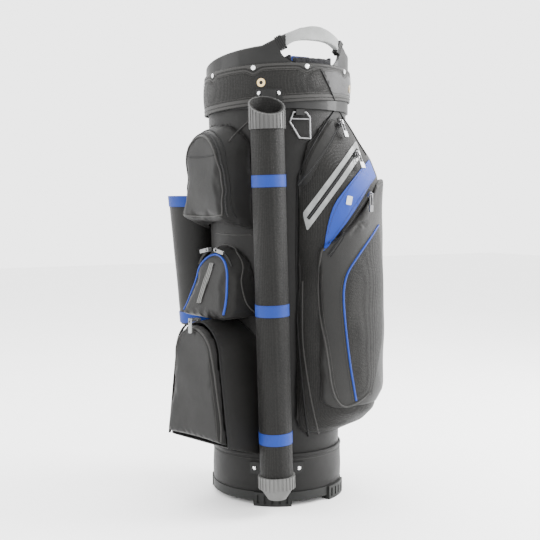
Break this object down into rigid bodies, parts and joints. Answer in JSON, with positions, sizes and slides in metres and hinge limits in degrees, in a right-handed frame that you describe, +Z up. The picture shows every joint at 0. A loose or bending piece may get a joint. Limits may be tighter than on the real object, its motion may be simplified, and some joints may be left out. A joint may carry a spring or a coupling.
{
  "type": "golf cart bag",
  "caption": "Free-standing golf cart bag with club dividers, carrying handle, outside putter tube, zipped pockets, umbrella sleeve and towel ring.",
  "frame": {"origin": "on the floor at the centre of the round base", "axes": "+Z up; -Y the front, under the carrying handle; +X the tall apparel pocket's side; -X the ball pocket's side"},
  "size_m": [0.3981, 0.3673, 0.8825],
  "materials": {
    "fabric_black": "matte woven",
    "fabric_smooth": "smooth coated",
    "plastic_dark": "satin moulded",
    "plastic_grey": "satin moulded",
    "trim_blue": "matte woven",
    "rubber_grey": "matte",
    "foam_black": "brushed fleece",
    "glass_fibre": "satin",
    "metal_bright": "polished",
    "metal_dark": "satin",
    "brass": "polished",
    "strip_grey": "satin welded film"
  },
  "bodies": {
    "bag": {"base_tray": "plastic_dark", "base_feet": "plastic_grey", "base_boot": "fabric_black", "body_shell": "fabric_black", "stay_rods": "glass_fibre", "top_collar": "plastic_dark", "handle_grip": "rubber_grey", "sill_pad": "foam_black", "top_cuff": "fabric_black", "cuff_rivets": "metal_bright", "cuff_eyelets": "brass", "divider_frame": "plastic_dark", "divider_hangers": "fabric_black", "divider_panels": "fabric_black", "divider_trim": "trim_blue", "putter_tube": "fabric_black", "mouth_ring": "plastic_grey", "tube_cup": "plastic_grey", "tube_bands": "trim_blue", "top_bracket": "plastic_dark", "top_bracket_rivets": "metal_bright", "cup_bracket": "plastic_dark", "cup_bracket_screws": "metal_bright", "towel_tab": "plastic_dark", "apparel_pocket": "fabric_black", "apparel_door": "fabric_smooth", "upper_zip_track": "plastic_dark", "dry_pocket_strip": "strip_grey", "lower_zip_track": "plastic_dark", "cooler_pocket": "fabric_black", "accessory_pocket": "fabric_black", "accessory_zip_track": "plastic_dark", "ball_case": "fabric_black", "umbrella_sleeve": "fabric_black", "rear_pocket": "fabric_black", "rear_zip_track": "plastic_dark", "spine_pad": "fabric_smooth", "grab_handle": "foam_black"},
    "towel_ring": {"towel_ring": "metal_dark"},
    "upper_zip_slider": {"upper_zip_slider": "metal_dark"},
    "upper_zip_pull": {"upper_zip_pull": "metal_dark"},
    "dry_zip_slider": {"dry_zip_slider": "metal_dark"},
    "dry_zip_pull": {"dry_zip_pull": "metal_dark"},
    "lower_zip_slider": {"lower_zip_slider": "metal_dark"},
    "lower_zip_pull": {"lower_zip_pull": "metal_dark"},
    "rear_zip_slider": {"rear_zip_slider": "metal_dark"},
    "rear_zip_pull": {"rear_zip_pull": "metal_dark"},
    "accessory_zip_slider_left": {"accessory_zip_slider_left": "metal_dark"},
    "accessory_zip_pull_left": {"accessory_zip_pull_left": "metal_dark"},
    "accessory_zip_slider_right": {"accessory_zip_slider_right": "metal_dark"},
    "accessory_zip_pull_right": {"accessory_zip_pull_right": "metal_dark"},
    "ball_door": {"ball_door": "fabric_black", "ball_zip_track": "plastic_dark"},
    "ball_zip_slider": {"ball_zip_slider": "metal_dark"},
    "ball_zip_pull": {"ball_zip_pull": "rubber_grey"}
  },
  "joints": [
    {"name": "towel_ring_hinge", "type": "hinge", "parent": "bag", "child": "towel_ring", "pos_m": [-0.031, -0.13427, 0.727], "axis": [-0.9744, 0.225, 0], "range_deg": [0, 95]},
    {"name": "upper_zip_run", "type": "hinge", "parent": "bag", "child": "upper_zip_slider", "pos_m": [0.03067, 0.02691, 0.62152], "axis": [0.772, -0.2069, -0.601], "range_deg": [0, 10.74]},
    {"name": "upper_zip_pull_hinge", "type": "hinge", "parent": "upper_zip_slider", "child": "upper_zip_pull", "pos_m": [0.05747, -0.13918, 0.71199], "axis": [-0.968, -0.2509, 0], "range_deg": [0, 120]},
    {"name": "dry_zip_run", "type": "hinge", "parent": "bag", "child": "dry_zip_slider", "pos_m": [0.05539, -0.04345, 0.59071], "axis": [0.7488, -0.2006, -0.6317], "range_deg": [0, 16.23]},
    {"name": "dry_zip_pull_hinge", "type": "hinge", "parent": "dry_zip_slider", "child": "dry_zip_pull", "pos_m": [0.07682, -0.16473, 0.65428], "axis": [-0.9789, -0.2043, 0], "range_deg": [0, 120]},
    {"name": "lower_zip_run", "type": "hinge", "parent": "bag", "child": "lower_zip_slider", "pos_m": [0.10502, 0.0895, 0.50374], "axis": [0.7727, -0.2071, -0.6], "range_deg": [0, 6.04]},
    {"name": "lower_zip_pull_hinge", "type": "hinge", "parent": "lower_zip_slider", "child": "lower_zip_pull", "pos_m": [0.09093, -0.18713, 0.5771], "axis": [-0.9606, -0.278, 0], "range_deg": [0, 120]},
    {"name": "rear_zip_run", "type": "slide", "parent": "bag", "child": "rear_zip_slider", "axis": [0, 0, -1], "range_m": [0, 0.27]},
    {"name": "rear_zip_pull_hinge", "type": "hinge", "parent": "rear_zip_slider", "child": "rear_zip_pull", "pos_m": [0.14756, 0.09182, 0.52], "axis": [0.6691, -0.7431, 0], "range_deg": [0, 120]},
    {"name": "accessory_zip_run_left", "type": "hinge", "parent": "bag", "child": "accessory_zip_slider_left", "pos_m": [-0.14724, -0.02862, 0.424], "axis": [-0.9816, -0.1908, 0], "range_deg": [0, 28]},
    {"name": "accessory_zip_pull_left_hinge", "type": "hinge", "parent": "accessory_zip_slider_left", "child": "accessory_zip_pull_left", "pos_m": [-0.15981, -0.02057, 0.47701], "axis": [-0.0364, 0.1873, 0.9816], "range_deg": [0, 100]},
    {"name": "accessory_zip_run_right", "type": "hinge", "parent": "bag", "child": "accessory_zip_slider_right", "pos_m": [-0.14724, -0.02862, 0.424], "axis": [0.9816, 0.1908, 0], "range_deg": [0, 28]},
    {"name": "accessory_zip_pull_right_hinge", "type": "hinge", "parent": "accessory_zip_slider_right", "child": "accessory_zip_pull_right", "pos_m": [-0.15588, -0.0408, 0.47701], "axis": [-0.0364, 0.1873, -0.9816], "range_deg": [0, 100]},
    {"name": "ball_door_hinge", "type": "hinge", "parent": "bag", "child": "ball_door", "pos_m": [-0.19137, -0.04418, 0.126], "axis": [0.225, -0.9744, 0], "range_deg": [0, 90]},
    {"name": "ball_zip_run", "type": "hinge", "parent": "ball_door", "child": "ball_zip_slider", "pos_m": [-0.19487, -0.04499, 0.285], "axis": [-0.9744, -0.225, 0], "range_deg": [-80, 80]},
    {"name": "ball_zip_pull_hinge", "type": "hinge", "parent": "ball_zip_slider", "child": "ball_zip_pull", "pos_m": [-0.21144, -0.04881, 0.3523], "axis": [-0.225, 0.9744, 0], "range_deg": [0, 100]}
  ]
}
